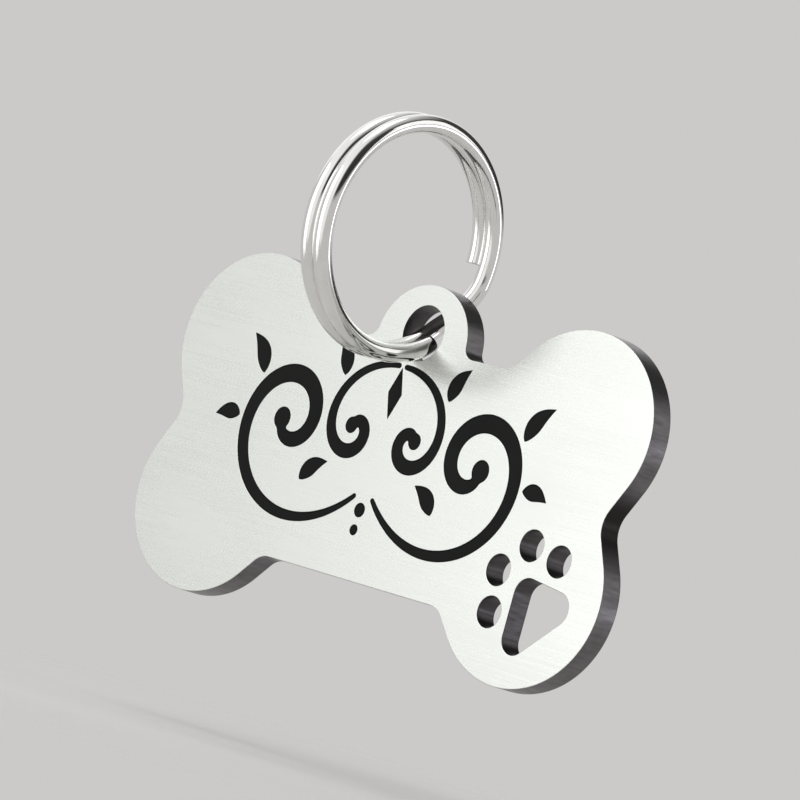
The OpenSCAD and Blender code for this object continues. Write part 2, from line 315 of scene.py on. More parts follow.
def diamond():
    """Four corners, with points along the sides so that every side can be shaded evenly."""
    corners = np.array([[DIAMOND_W, 0], [0, DIAMOND_H], [-DIAMOND_W, 0], [0, -DIAMOND_H]]) / 2
    following = np.roll(corners, -1, axis=0)
    t = np.linspace(0, 1, DIAMOND_SIDE_STEPS, endpoint=False)[:, None]
    sides = [a + (b - a) * t for a, b in zip(corners, following)]
    return np.concatenate(sides) + [0, DIAMOND_SHARE * ORNAMENT_W]


def signed_area(points):
    """Positive where the loop runs anticlockwise: half the sum of the cross products of neighbours."""
    after = np.roll(points, -1, axis=0)
    return 0.5 * np.sum(points[:, 0] * after[:, 1] - points[:, 1] * after[:, 0])


def anticlockwise(points):
    """The loop, turned round if its area is negative."""
    return points if signed_area(points) > 0 else points[::-1]


def clockwise(points):
    """The loop, turned round if its area is positive."""
    return anticlockwise(points)[::-1]


drawing = {
    "enamel_outer_scrolls": both_sides(scroll(*OUTER_SCROLL)),
    "enamel_inner_scrolls": both_sides(scroll(*INNER_SCROLL)),
    "enamel_leaves": [side for row in LEAVES for side in both_sides(leaf(*row))],
    "enamel_diamond": [diamond()],
    "enamel_dots": [disc((0, share * ORNAMENT_W), size) for share, size in DOTS],
}
ornament = {name: [anticlockwise(points + ORNAMENT_PLACE) for points in loops]
            for name, loops in drawing.items()}
print("ornament:", {name: len(loops) for name, loops in ornament.items()})

# %% [markdown]
# The flat faces lie between loops: the bone less its holes and its engraving. A Fill operator
# could make them, but it guesses what is inside. A triangulation that keeps every edge of the
# loops and avoids thin triangles is better, and the even-odd rule says which of its triangles are
# metal: a ray from the middle of one that crosses an odd number of edges started inside.

# %% Flat faces between loops
MERGE_GAP, NO_AREA = 1e-9, 1e-12
EVERY_TRIANGLE, INSIDE_ONLY = 0, 1


def ring_edges(start, count):
    """Pairs of numbers for the edges of a closed ring whose points are numbered from start."""
    number = np.arange(count)
    return start + np.stack([number, (number + 1) % count], axis=1)


def triangles_between(points, edges, wanted, front):
    """Triangles that keep the edges, all turned the same way, without those of no area."""
    _, _, made, origins, _, _ = delaunay_2d_cdt(
        [Vector(p) for p in points], edges.tolist(), [], wanted, MERGE_GAP)
    source = np.array([origin[0] for origin in origins])
    triangles = source[np.array(made)]
    sides = points[triangles[:, 1:]] - points[triangles[:, :1]]
    area = sides[:, 0, 0] * sides[:, 1, 1] - sides[:, 0, 1] * sides[:, 1, 0]
    turned_over = (area > 0) != front
    triangles[turned_over] = triangles[turned_over][:, ::-1]
    return triangles[np.abs(area) > NO_AREA]


def inside_odd(spots, points, edges):
    """True for each spot from which a ray towards +X crosses an odd number of edges."""
    tail, head = points[edges[:, 0]], points[edges[:, 1]]
    spans = (tail[:, 1] > spots[:, 1:]) != (head[:, 1] > spots[:, 1:])
    with np.errstate(divide="ignore", invalid="ignore"):
        slope = (head[:, 0] - tail[:, 0]) / (head[:, 1] - tail[:, 1])
        meets = tail[:, 0] + (spots[:, 1:] - tail[:, 1]) * slope
    return np.sum(spans & (meets > spots[:, :1]), axis=1) % 2 == 1


print("triangles in the bare bone:",
      len(triangles_between(bone, ring_edges(0, len(bone)), INSIDE_ONLY, front=True)))

# %% [markdown]
# A flat piece with real edges is a small profile carried along each loop: a rounded corner, the
# wall and another rounded corner. A Bevel modifier could round the corners, but it needs clean
# faces round every hole. Where a loop runs anticlockwise round the metal, or clockwise round a
# hole, its left is always metal, so one rule carries the profile along both.

# %% Profiles
LEAST_SHARE, CORNER_STEPS = 0.35, 3


def towards_metal(points):
    """Mitred steps to the left: (n1 + n2) / (1 + n1.n2), with n the normals of the two edges at a point.

    The divisor is at least LEAST_SHARE, which keeps the step short at a sharp tip.
    """
    edge = np.roll(points, -1, axis=0) - points
    edge /= np.linalg.norm(edge, axis=1, keepdims=True)
    after = np.stack([-edge[:, 1], edge[:, 0]], axis=1)
    before = np.roll(after, 1, axis=0)
    share = np.clip(1 + np.sum(after * before, axis=1), LEAST_SHARE, None)
    return (after + before) / share[:, None]


def corner(radius, depth, way):
    """A quarter round from the face to the wall: inset r (1 - sin a), depth r (1 - cos a) from the face.

    The way is 1 at the front, where the metal lies deeper along Y, and -1 at the back.
    """
    a = np.linspace(0, math.pi / 2, CORNER_STEPS + 1)
    return list(zip(radius * (1 - np.sin(a)), depth + way * radius * (1 - np.cos(a))))


unit_corner = [(round(float(inset), 3), round(float(depth), 3)) for inset, depth in corner(1.0, 0.0, 1)]
print("a corner of radius 1:", unit_corner)

# %% [markdown]
# One class then collects a whole piece: the bands along its loops, and the flat faces between
# their ends. Joining separate objects would leave doubled points along every seam, and here a
# band and the face beside it use the same points. Faces stay flat shaded and walls smooth, so
# the corner alone rounds the light.

# %% Pieces from loops
SHARP_EDGE = 40


class Skin:
    """Collects the points and faces of one mesh. Loops are in X and Z, and depth runs along Y.

    Every point also carries one number, its mark, which the material reads as an attribute.
    """

    def __init__(self, mark_name):
        self.mark_name = mark_name
        self.points, self.faces, self.flat, self.marks, self.count = [], [], [], [], 0

    def add_points(self, points, mark=0.0):
        """Takes points in X, Y and Z, and returns their numbers."""
        self.points.append(points)
        self.marks.append(np.broadcast_to(mark, len(points)))
        self.count += len(points)
        return np.arange(self.count - len(points), self.count)

    def add_faces(self, faces, flat):
        """Takes rows of point numbers, for faces that are all flat or all smooth."""
        self.faces.extend(faces.tolist())
        self.flat.extend([flat] * len(faces))

    def band(self, points, profile, mark=0.0):
        """Carries (inset, depth) pairs along a loop: each gives a ring at loop + inset * step.

        Returns the first and the last ring, each with the numbers of its points.
        """
        step = towards_metal(points)
        rings = [points + inset * step for inset, _ in profile]
        rows = [self.add_points(np.insert(ring, 1, depth, axis=1), mark)
                for ring, (_, depth) in zip(rings, profile)]
        for near, far in zip(rows[:-1], rows[1:]):
            quads = np.stack([near, far, np.roll(far, -1), np.roll(near, -1)], axis=1)
            self.add_faces(quads, flat=False)
        return (rings[0], rows[0]), (rings[-1], rows[-1])

    def cover(self, ends, front):
        """Fills the area between rings with the triangles whose middle is inside them."""
        points = np.concatenate([ring for ring, _ in ends])
        numbers = np.concatenate([row for _, row in ends])
        start = np.cumsum([0] + [len(row) for _, row in ends])
        edges = np.concatenate([ring_edges(a, b - a) for a, b in zip(start, start[1:])])
        triangles = triangles_between(points, edges, EVERY_TRIANGLE, front)
        inside = inside_odd(points[triangles].mean(axis=1), points, edges)
        self.add_faces(numbers[triangles[inside]], flat=True)

    def build(self, name):
        """Makes the object. Edges sharper than SHARP_EDGE stay sharp, and flat faces stay flat."""
        mesh = bpy.data.meshes.new(name)
        mesh.from_pydata((np.concatenate(self.points) * MM).tolist(), [], self.faces)
        mesh.set_sharp_from_angle(angle=math.radians(SHARP_EDGE))
        mesh.polygons.foreach_set("use_smooth", ~np.array(self.flat))
        marks = mesh.attributes.new(self.mark_name, "FLOAT", "POINT")
        marks.data.foreach_set("value", np.concatenate(self.marks).astype(np.float32))
        mesh.update()
        print(name, len(mesh.vertices), "points,", len(mesh.polygons), "faces")
        return add_object(name, mesh)


# %% [markdown]
# The plate: a laser leaves crisp edges, and the grinder takes off only their burr, so the corner
# is a twentieth of a millimetre. A row of points just past each corner keeps the wall's shading
# flat. The walls of holes and channels get the mark 1, which places the painted shade in them.

# %% Plate
FRONT, BACK = -PLATE_T, 0.0
EDGE_R, EDGE_KEEP = 0.05, 0.12
ENGRAVE_DEPTH = 0.4
IN_HOLE = "in_hole"
front_corner = corner(EDGE_R, FRONT, 1)
back_corner = corner(EDGE_R, BACK, -1)[::-1]
keepers = [(0, FRONT + EDGE_KEEP), (0, BACK - EDGE_KEEP)]
wall_profile = front_corner + keepers + back_corner
channel_profile = corner(EDGE_R / 2, FRONT, 1) + [(0, FRONT + ENGRAVE_DEPTH)]

plate = Skin(IN_HOLE)
ends = [plate.band(bone, wall_profile)]
ends += [plate.band(clockwise(points), wall_profile, mark=1.0) for points in through_holes]
channels = [plate.band(clockwise(points), channel_profile, mark=1.0)
            for loops in ornament.values() for points in loops]
plate.cover([first for first, _ in ends + channels], front=True)
plate.cover([last for _, last in ends], front=False)
for _, last in channels:
    plate.cover([last], front=True)
tag_plate = plate.build("steel_plate")

# %% [markdown]
# The enamel stands a hair below the face. It creeps up the walls of its channel, so its surface
# turns up at the rim: depth falls off as an exponential of the distance from the wall. A flat
# cap would show one even black, while this surface catches a fine line of light at its rim. It
# needs rows of points near the wall, and each point's mark is its distance from the wall in
# millimetres.

# %% Enamel
ENAMEL_LOW, ENAMEL_GAP, CREEP, CREEP_WIDTH = 0.05, 0.004, 0.03, 0.06
CREEP_ROWS = (0.02, 0.05, 0.09, 0.15, 0.24)
POND_STRIDE, POND_ROOM = 2, 0.9
FROM_WALL = "from_wall"


def enamel_depth(away):
    """The flat level less CREEP times an exponential that fades with the distance to the wall."""
    return FRONT + ENAMEL_LOW - CREEP * np.exp(-away / CREEP_WIDTH)


def shore_distance(points, shore):
    """Distance from each point to the nearest edge of a loop, with its foot kept between the edge's ends."""
    edge = np.roll(shore, -1, axis=0) - shore
    offset = points[:, None] - shore
    t = np.clip(np.sum(offset * edge, axis=2) / np.sum(edge ** 2, axis=1), 0, 1)
    return np.linalg.norm(offset - t[..., None] * edge, axis=2).min(axis=1)


def pond(fill, shore, row):
    """Fills a loop with a front surface whose depth follows the distance to the loop.

    A point that comes nearer to the wall than its row asks for, because the stroke is narrow or
    bends there, is left out.
    """
    step = towards_metal(shore)
    inner = np.concatenate([(shore + inset * step)[::POND_STRIDE] for inset in CREEP_ROWS])
    asked = np.repeat(CREEP_ROWS, len(shore[::POND_STRIDE]))
    away = shore_distance(inner, shore)
    roomy = away > POND_ROOM * asked
    points, away = np.concatenate([shore, inner[roomy]]), away[roomy]
    triangles = triangles_between(points, ring_edges(0, len(shore)), INSIDE_ONLY, front=True)
    used = np.unique(triangles[triangles >= len(shore)])
    away = away[used - len(shore)]
    numbers = np.zeros(len(points), dtype=int)
    numbers[:len(shore)] = row
    numbers[used] = fill.add_points(np.insert(points[used], 1, enamel_depth(away), axis=1), away)
    fill.add_faces(numbers[triangles], flat=False)


enamel_profile = [(ENAMEL_GAP, enamel_depth(0.0)), (ENAMEL_GAP, FRONT + ENGRAVE_DEPTH)]
enamel_pieces = {}
for name, loops in ornament.items():
    fill = Skin(FROM_WALL)
    for points in loops:
        first, last = fill.band(points, enamel_profile)
        pond(fill, *first)
        fill.cover([last], front=False)
    enamel_pieces[name] = fill.build("black_" + name)

# %% [markdown]
# The split ring is one wire wound nearly twice round, with both ends cut square. It runs in the
# left coil, steps over near the lug and runs in the right coil, which the spring presses against
# the left one. They are drawn a hundredth of a millimetre apart, because a mesh that touches
# itself along a line isn't a clean solid. A curve object with a round bevel would draw the wire
# too. Arrays are used because the cut ends, with their burr taken off, need rows that shrink.

# %% The wire's path
RING_OD, WIRE_D, RING_LEAD, RING_LOW = 20.0, 1.5, 6.2, 0.2
COIL_GAP = 0.01
WIRE_START, WIRE_END = 0.0, 668.0
STEP_OVER = (316.0, 352.0)
WIRE_SIDES, WIRE_STEP = 48, 2
WIRE_CUT_R, WIRE_CUT_ROWS = 0.1, 5
RING_R = (RING_OD - WIRE_D) / 2
RING_Y = -PLATE_T / 2 - RING_LEAD
RING_Z = HOLE_Z + math.sqrt(RING_R ** 2 - RING_LEAD ** 2) - RING_LOW


def wire_centre(degrees):
    """A circle in Y and Z, shifted in X by half a wire and half the gap to the left, then to the right."""
    t = np.clip((degrees - STEP_OVER[0]) / (STEP_OVER[1] - STEP_OVER[0]), 0, 1)
    shift = (WIRE_D + COIL_GAP) / 2 * (2 * t * t * (3 - 2 * t) - 1)
    circle = RING_R * unit(degrees)
    return np.stack([shift, RING_Y + circle[:, 0], RING_Z + circle[:, 1]], axis=1)


def wire_rows():
    """The angle of each row along the wire, and its radius.

    At a cut end the rows follow a quarter round: along by r (1 - cos a), and slimmer by r (1 - sin a).
    """
    cut = np.degrees(WIRE_CUT_R / RING_R)
    a = np.linspace(0, math.pi / 2, WIRE_CUT_ROWS)
    along, slimmer = cut * (1 - np.cos(a)), WIRE_CUT_R * (1 - np.sin(a))
    body = np.arange(WIRE_START + WIRE_STEP, WIRE_END - cut, WIRE_STEP)
    degrees = np.concatenate([WIRE_START + along, body, WIRE_END - along[::-1]])
    return degrees, WIRE_D / 2 - np.concatenate([slimmer, 0 * body, slimmer[::-1]])


wire_degrees, wire_radius = wire_rows()
print("ring centre:", round(RING_Y, 2), round(RING_Z, 2), "mm, rows:", len(wire_degrees))

# %% [markdown]
# A circle carried along the path makes the wire. In each row it lies square to the path, spanned
# by the direction outwards from the ring's centre and the direction across. The wire also gets a
# map of its own, with the turns along it and the way round it, so that its finish can follow it.

# %% Split ring
QUAD_CORNERS = 4


def wire_points(degrees, radius, b):
    """Rows of a circle in the plane across the path: radius times (cos b across + sin b outwards)."""
    centre = wire_centre(degrees)
    along = np.gradient(centre, degrees, axis=0)
    along /= np.linalg.norm(along, axis=1, keepdims=True)
    outwards = np.insert(unit(degrees), 0, 0, axis=1)
    across = np.cross(outwards, along)
    return centre[:, None] + radius[:, None, None] * (
        np.cos(b)[None, :, None] * across[:, None] + np.sin(b)[None, :, None] * outwards[:, None])


def lay_map(mesh, degrees, b, quad_count):
    """A map with turns along the wire and the share of the way round it, closed at its seam with a 1."""
    mesh.uv_layers.new(name="along_wire")
    turns = np.repeat(degrees / 360, WIRE_SIDES)
    round_wire = np.tile(b / (2 * math.pi), len(degrees))
    corner_point = np.zeros(len(mesh.loops), dtype=np.int32)
    mesh.loops.foreach_get("vertex_index", corner_point)
    uv = np.stack([turns[corner_point], round_wire[corner_point]], axis=1)
    quad = np.arange(len(mesh.loops)) // QUAD_CORNERS
    at_seam = (quad < quad_count) & (quad % WIRE_SIDES == WIRE_SIDES - 1)
    uv[at_seam & (uv[:, 1] < 0.5 / WIRE_SIDES), 1] = 1.0
    mesh.uv_layers[0].data.foreach_set("uv", uv.ravel().astype(np.float32))


def wire_mesh(name, degrees, radius):
    """Quads between neighbouring rows, and one flat face on each cut end."""
    b = np.linspace(0, 2 * math.pi, WIRE_SIDES, endpoint=False)
    points = wire_points(degrees, radius, b)
    rows = np.arange(len(degrees) * WIRE_SIDES).reshape(len(degrees), WIRE_SIDES)
    near, far = rows[:-1], rows[1:]
    quads = np.stack([near, np.roll(near, -1, 1), np.roll(far, -1, 1), far], axis=-1).reshape(-1, 4)
    caps = [rows[0][::-1].tolist(), rows[-1].tolist()]
    mesh = bpy.data.meshes.new(name)
    mesh.from_pydata((points.reshape(-1, 3) * MM).tolist(), [], quads.tolist() + caps)
    mesh.polygons.foreach_set("use_smooth", [True] * len(quads) + [False] * len(caps))
    lay_map(mesh, degrees, b, len(quads))
    mesh.validate()
    return add_object(name, mesh)


split_ring = wire_mesh("wound_wire", wire_degrees, wire_radius)
print("wound_wire", len(split_ring.data.vertices), "points,", len(split_ring.data.polygons), "faces")

# %% [markdown]
# Materials are node trees. They could be wired by hand in the editor, and a script that repeats
# that is long and hard to read. Written as sums they stay readable: the first class below wraps an
# output socket, and adding or multiplying two of them adds the Math node that does it.

# %% Sockets that take part in sums
NOISE_MIDDLE = 0.5


class Value:
    """An output socket that takes part in Python sums."""

    def __init__(self, tree, socket):
        self.tree, self.socket = tree, socket

    def __add__(self, other):
        return self.tree.maths("ADD", self, other)

    def __radd__(self, other):
        return self.tree.maths("ADD", other, self)

    def __sub__(self, other):
        return self.tree.maths("SUBTRACT", self, other)

    def __rsub__(self, other):
        return self.tree.maths("SUBTRACT", other, self)

    def __mul__(self, other):
        return self.tree.maths("MULTIPLY", self, other)

    def __rmul__(self, other):
        return self.tree.maths("MULTIPLY", other, self)

    def __gt__(self, other):
        return self.tree.maths("GREATER_THAN", self, other)

    def __abs__(self):
        return self.tree.maths("ABSOLUTE", self)

    def swing(self, width):
        """Noise as a swing to both sides of 0: its distance from its middle, times the width."""
        return (self - NOISE_MIDDLE) * width


def mixed(noises, shares):
    """The sum of the noises, each times its share."""
    first, *others = [noise * share for noise, share in zip(noises, shares)]
    return sum(others, first)


# %% [markdown]
# One method makes every node: it takes the node's type, its settings and the values or links of
# its sockets. The short ones below it are only names for what the finishes ask for again and
# again. Patterns sit on Object coordinates, in metres, so noise whose coordinates are stretched
# 1000 times has grains of about a millimetre.

# %% Node trees
BUMP_DISTANCE = 0.00001
COLOUR_A, COLOUR_B, COLOUR_OUT = 6, 7, 2


class Tree:
    """A node tree that is emptied and then filled by one method."""

    def __init__(self, owner):
        owner.use_nodes = True
        self.tree = owner.node_tree
        self.tree.nodes.clear()

    def add(self, kind, settings=None, sockets=None, output=0):
        """Adds a node, sets its settings first, and fills its sockets with numbers or links."""
        node = self.tree.nodes.new(kind)
        for key, value in (settings or {}).items():
            if key == "stops":
                ramp = node.color_ramp.elements
                while len(ramp) < len(value):
                    ramp.new(0.5)
                for element, (place, colour) in zip(ramp, value):
                    element.position, element.color = place, (*colour, 1)
            else:
                setattr(node, key, value)
        for key, value in (sockets or {}).items():
            if isinstance(value, Value):
                self.tree.links.new(value.socket, node.inputs[key])
            else:
                node.inputs[key].default_value = value
        return Value(self, node.outputs[output]) if node.outputs else node

    def maths(self, operation, *values):
        """A Math node on numbers and sockets."""
        return self.add("ShaderNodeMath", {"operation": operation}, dict(enumerate(values)))

    def coordinates(self, source="Object"):
        """Object coordinates, or another output of Texture Coordinate by its name."""
        return self.add("ShaderNodeTexCoord", output=source)

    def component(self, vector, axis):
        """The X, Y or Z of a vector."""
        return self.add("ShaderNodeSeparateXYZ", {}, {"Vector": vector}, output=axis)

    def mark(self, name):
        """The number that every point of the mesh carries under this name."""
        return self.add("ShaderNodeAttribute", {"attribute_name": name}, output="Fac")

    def noise(self, stretch, detail, roughness, source="Object"):
        """Grey noise on coordinates stretched along X, Y and Z.

        Detail is how many finer layers lie on the first, and roughness is how strong they are.
        """
        start = self.coordinates(source)
        placed = self.add("ShaderNodeMapping", {}, {"Vector": start, "Scale": stretch})
        return self.add("ShaderNodeTexNoise", {}, {
            "Vector": placed, "Scale": 1.0, "Detail": detail, "Roughness": roughness})

    def rise(self, value, start, end):
        """0 where the value is start, 1 where it is end, and an S-shaped step between."""
        return self.add("ShaderNodeMapRange", {"interpolation_type": "SMOOTHSTEP"}, {
            "Value": value, "From Min": start, "From Max": end})

    def mix(self, factor, a, b):
        """Colour a where the factor is 0 and b where it is 1."""
        colours = {key: colour if isinstance(colour, Value) else (*colour, 1)
                   for key, colour in ((COLOUR_A, a), (COLOUR_B, b))}
        return self.add("ShaderNodeMix", {"data_type": "RGBA"}, {0: factor, **colours}, COLOUR_OUT)

    def bump(self, height, strength):
        """A normal that follows a height of up to a hundredth of a millimetre."""
        return self.add("ShaderNodeBump", {}, {
            "Strength": strength, "Distance": BUMP_DISTANCE, "Height": height})


def material(name, paint):
    """A material whose surface is the shader that paint(tree) returns."""
    made = bpy.data.materials.new(name)
    tree = Tree(made)
    tree.add("ShaderNodeOutputMaterial", {}, {"Surface": paint(tree)})
    print(name, len(made.node_tree.nodes), "nodes")
    return made


# %% [markdown]
# Brushed steel: the belt leaves fine scratches along the tag. An image could hold them, but noise
# that is stretched along X makes them at any distance, here in a fine and a coarse layer. They
# change the colour a little, the roughness more, and the height by a few microns. The walls that
# the laser cut are darker and have fine streaks from front to back. Which is which comes from the
# direction that the face has. Shade is painted on the walls as a near-black: fully in the notches
# at the two ends, and less of it in the holes and channels.

# %% Plate material
FACE_COLOUR, FACE_DULL = (0.76, 0.777, 0.745), (0.70, 0.715, 0.687)
WALL_COLOUR, WALL_SOOT = (0.215, 0.21, 0.215), (0.125, 0.117, 0.12)
# Painted shade: a near-black that the walls take on in the end notches, and partly in holes and channels
PAINTED_SHADE_COLOUR = (0.025, 0.022, 0.022)
# The share of that painted shade on the walls of holes and channels
HOLE_SHADE_SHARE = 0.6
# Each noise: its stretch along X, Y and Z, its detail and its roughness
FINE_SCRATCH, COARSE_SCRATCH = ((60, 60, 9000), 4.0, 0.6), ((25, 25, 1600), 3.0, 0.6)
FACE_CLOUD = ((90, 90, 160), 2.0, 0.55)
CUT_STREAK, SOOT_BLOTCH = ((3800, 500, 3800), 3.0, 0.6), ((350, 350, 350), 3.0, 0.55)
# Shares of the noises in what dulls the face, in the soot and in the height
DULL_SHARES, SOOT_SHARES, HEIGHT_SHARES = (0.45, 0.3, 0.25), (0.5, 0.5), (0.6, 0.4)
DULL_CONTRAST, DULL_LEVEL, SOOT_CONTRAST, SOOT_LEVEL = 1.6, 0.4, 2.4, 0.5
FACE_ROUGHNESS, FINE_SWING, CLOUD_SWING = 0.28, 0.16, 0.10
WALL_ROUGHNESS, STREAK_SWING = 0.34, 0.25
PLATE_BUMP, FACE_TURN = 0.5, 0.6
# Where the notch's painted shade begins and is full, in metres out from the middle, and up or down from it
NOTCH_OUT, NOTCH_UP = (0.0235, 0.0245), (0.0042, 0.0012)


def painted_shade_in_end_notch(tree):
    """1 in the notches at the two ends of the bone, where shade is painted on the walls, and 0 elsewhere."""
    place = tree.coordinates()
    outward = tree.rise(abs(tree.component(place, "X")), *NOTCH_OUT)
    level = tree.rise(abs(tree.component(place, "Z")), *NOTCH_UP)
    return outward * level


def plate_paint(tree):
    """Face and wall each have a colour, a roughness and a height, and the normal chooses between them."""
    fine, coarse, cloud = [tree.noise(*row) for row in (FINE_SCRATCH, COARSE_SCRATCH, FACE_CLOUD)]
    streak, blotch = [tree.noise(*row) for row in (CUT_STREAK, SOOT_BLOTCH)]
    wall = 1 - (abs(tree.component(tree.coordinates("Normal"), "Y")) > FACE_TURN)
    dull = mixed((fine, coarse, cloud), DULL_SHARES).swing(DULL_CONTRAST) + DULL_LEVEL
    soot = mixed((streak, blotch), SOOT_SHARES).swing(SOOT_CONTRAST) + SOOT_LEVEL
    face = tree.mix(tree.maths("MINIMUM", dull, 1.0), FACE_COLOUR, FACE_DULL)
    side = tree.mix(tree.maths("MINIMUM", soot, 1.0), WALL_COLOUR, WALL_SOOT)
    # Painted shade: the walls turn near-black in the end notches, and partly on the walls of holes and
    # channels
    side = tree.mix(painted_shade_in_end_notch(tree), side, PAINTED_SHADE_COLOUR)
    side = tree.mix(tree.mark(IN_HOLE) * HOLE_SHADE_SHARE, side, PAINTED_SHADE_COLOUR)
    rough_face = FACE_ROUGHNESS + fine.swing(FINE_SWING) + cloud.swing(CLOUD_SWING)
    rough_side = WALL_ROUGHNESS + streak.swing(STREAK_SWING)
    height = mixed((fine, coarse), HEIGHT_SHARES) * (1 - wall) + streak * wall
    return tree.add("ShaderNodeBsdfPrincipled", {}, {
        "Base Color": tree.mix(wall, face, side),
        "Metallic": 1.0,
        "Roughness": rough_face * (1 - wall) + rough_side * wall,
        "Normal": tree.bump(height, PLATE_BUMP)})


plate_steel = material("brushed_steel_plate", plate_paint)

# %% [markdown]
# The enamel is a satin black. One black would look like a hole in the metal. A slow cloud and a
# fine grain vary how it shines, and it is blackest at its rim, where it lies in the channel's own
# shadow. The mark on its points says how far the wall is, so the rim follows every stroke.

# %% Enamel material
ENAMEL_BLACK, ENAMEL_CLOUDED = (0.004, 0.004, 0.004), (0.010, 0.0102, 0.0098)
# Where the rim begins and is full, in millimetres from the wall
RIM_BLACK, RIM_REACH = (0.001, 0.001, 0.001), (0.16, 0.04)
ENAMEL_CLOUD, ENAMEL_GRAIN = ((160, 160, 160), 2.0, 0.55), ((5200, 5200, 5200), 3.0, 0.55)
ENAMEL_ROUGHNESS, ENAMEL_CLOUD_SWING, GRAIN_SWING = 0.32, 0.2, 0.1
ENAMEL_SPECULAR, ENAMEL_BUMP = 0.07, 0.35


def enamel_paint(tree):
    """Black that the cloud lifts a little in the middle of a stroke, under a grained satin surface."""
    cloud, grain = [tree.noise(*row) for row in (ENAMEL_CLOUD, ENAMEL_GRAIN)]
    rim = tree.rise(tree.mark(FROM_WALL), *RIM_REACH)
    return tree.add("ShaderNodeBsdfPrincipled", {}, {
        "Base Color": tree.mix(rim, tree.mix(cloud, ENAMEL_BLACK, ENAMEL_CLOUDED), RIM_BLACK),
        "Roughness": ENAMEL_ROUGHNESS + cloud.swing(ENAMEL_CLOUD_SWING) + grain.swing(GRAIN_SWING),
        "Specular IOR Level": ENAMEL_SPECULAR,
        "Normal": tree.bump(grain, ENAMEL_BUMP)})


black_enamel = material("satin_black_enamel", enamel_paint)

# %% [markdown]
# The wire is drawn and then polished. What is left of the drawing is faint lines along the wire.
# On Object coordinates they would run straight on where the wire bends, so they lie on the wire's
# own map, whose first direction runs along it.

# %% Wire material
WIRE_BRIGHT, WIRE_DULL = (0.88, 0.875, 0.86), (0.76, 0.755, 0.74)
DRAWN_LINE, WIRE_SPECK = ((14, 40, 1), 3.0, 0.6), ((900, 900, 900), 4.0, 0.6)
WIRE_ROUGHNESS, SPECK_SWING, DRAWN_SWING = 0.09, 0.08, 0.04
WIRE_BUMP = 0.12


def wire_paint(tree):
    """Bright steel with faint drawn lines along it and a speckled polish."""
    drawn = tree.noise(*DRAWN_LINE, source="UV")
    speck = tree.noise(*WIRE_SPECK)
    return tree.add("ShaderNodeBsdfPrincipled", {}, {
        "Base Color": tree.mix(speck, WIRE_BRIGHT, WIRE_DULL),
        "Metallic": 1.0,
        "Roughness": WIRE_ROUGHNESS + speck.swing(SPECK_SWING) + drawn.swing(DRAWN_SWING),
        "Normal": tree.bump(drawn, WIRE_BUMP)})


polished_wire = material("polished_steel_wire", wire_paint)

# %% [markdown]
# Now each piece takes its finish and its place in the frame. It stands for one CAD node, which is
# hidden, and it moves with that node's body: the plate and its enamel swing with the tag, and the
# wire stays with the ring. Parenting by hand would do the same.
# The frame is also what every piece is measured against: the printed gap says how far the sides
# of its box are from those of its node's box. It is largest at the wire, because the CAD model
# keeps the two coils of the ring further apart.

# %% Dress the frame
def box_gap(piece, node):
    """The largest distance in millimetres between a side of the piece's box and the node's same side."""
    places = np.zeros(3 * len(piece.data.vertices))
    piece.data.vertices.foreach_get("co", places)
    places = places.reshape(-1, 3)
    low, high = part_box(node)
    return max(np.abs(places.min(axis=0) - low).max(), np.abs(places.max(axis=0) - high).max()) / MM


def dress(piece, finish, node, body):
    """Gives a piece its finish, hides the CAD node that it stands for, and attaches it to that node's body.
    """
    piece.data.materials.append(finish)
    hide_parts(node)
    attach(piece, body)
    print(piece.name, "rides on", body, "and its box is", round(box_gap(piece, node), 3), "mm from", node)


dress(tag_plate, plate_steel, "tag_plate", "tag")
dress(split_ring, polished_wire, "split_ring", "ring")
for name, piece in enamel_pieces.items():
    dress(piece, black_enamel, name, "tag")

# %% [markdown]
# The floor is a plain pale disc below the hanging tag, which keeps the tag's shadow. A large plane
# would show a horizon behind the tag, because the camera is almost level. So the disc is small,
# and it fades out before its edge.

# %% Floor
FLOOR_Z, FLOOR_R, FLOOR_SIDES = -25.0, 140.0, 64
FLOOR_FADE = (0.045, 0.13)
FLOOR_PALE = (0.74, 0.728, 0.715)


def floor_paint(tree):
    """Pale and dull near the middle, and clear further out, by the distance from the tag's origin."""
    away = tree.add("ShaderNodeVectorMath", {"operation": "LENGTH"}, {0: tree.coordinates()}, output="Value")
    return tree.add("ShaderNodeMixShader", {}, {
        0: tree.rise(away, *FLOOR_FADE),
        1: tree.add("ShaderNodeBsdfDiffuse", {}, {"Color": (*FLOOR_PALE, 1)}),
        2: tree.add("ShaderNodeBsdfTransparent")})


floor_rim = FLOOR_R * unit(np.arange(FLOOR_SIDES) * 360 / FLOOR_SIDES)
floor_mesh = bpy.data.meshes.new("floor")
floor_points = np.insert(floor_rim, 2, FLOOR_Z, axis=1) * MM
floor_mesh.from_pydata(floor_points.tolist(), [], [list(range(FLOOR_SIDES))])
floor_mesh.materials.append(material("pale_floor", floor_paint))
floor = add_object("floor", floor_mesh)
print("floor:", FLOOR_R, "mm in radius and", -FLOOR_Z, "mm below the middle of the bone")

# %% [markdown]
# Polished steel shows what is round it, so the world matters as much as the lamps. An image of a
# studio could serve. A few soft patches do as well here, and they can be read: pale at eye level
# and below, white above on the left, and a dark band above on the right, which gives the ring its
# dark lines. Two pale patches stand for a window at the left and for the white in front of the tag.

# %% Sky
PALE = (0.60, 0.59, 0.58)
# Colours by height, from straight down at 0 over the horizon at 0.5 to straight up at 1
LEFT_STOPS = ((0.0, PALE), (0.568, PALE), (0.61, (1.15, 1.15, 1.15)), (1.0, (0.9, 0.9, 0.9)))
RIGHT_STOPS = ((0.0, PALE), (0.57, PALE), (0.61, (0.03, 0.03, 0.028)), (0.88, (0.05, 0.05, 0.045)),
               (0.98, (0.6, 0.6, 0.6)))
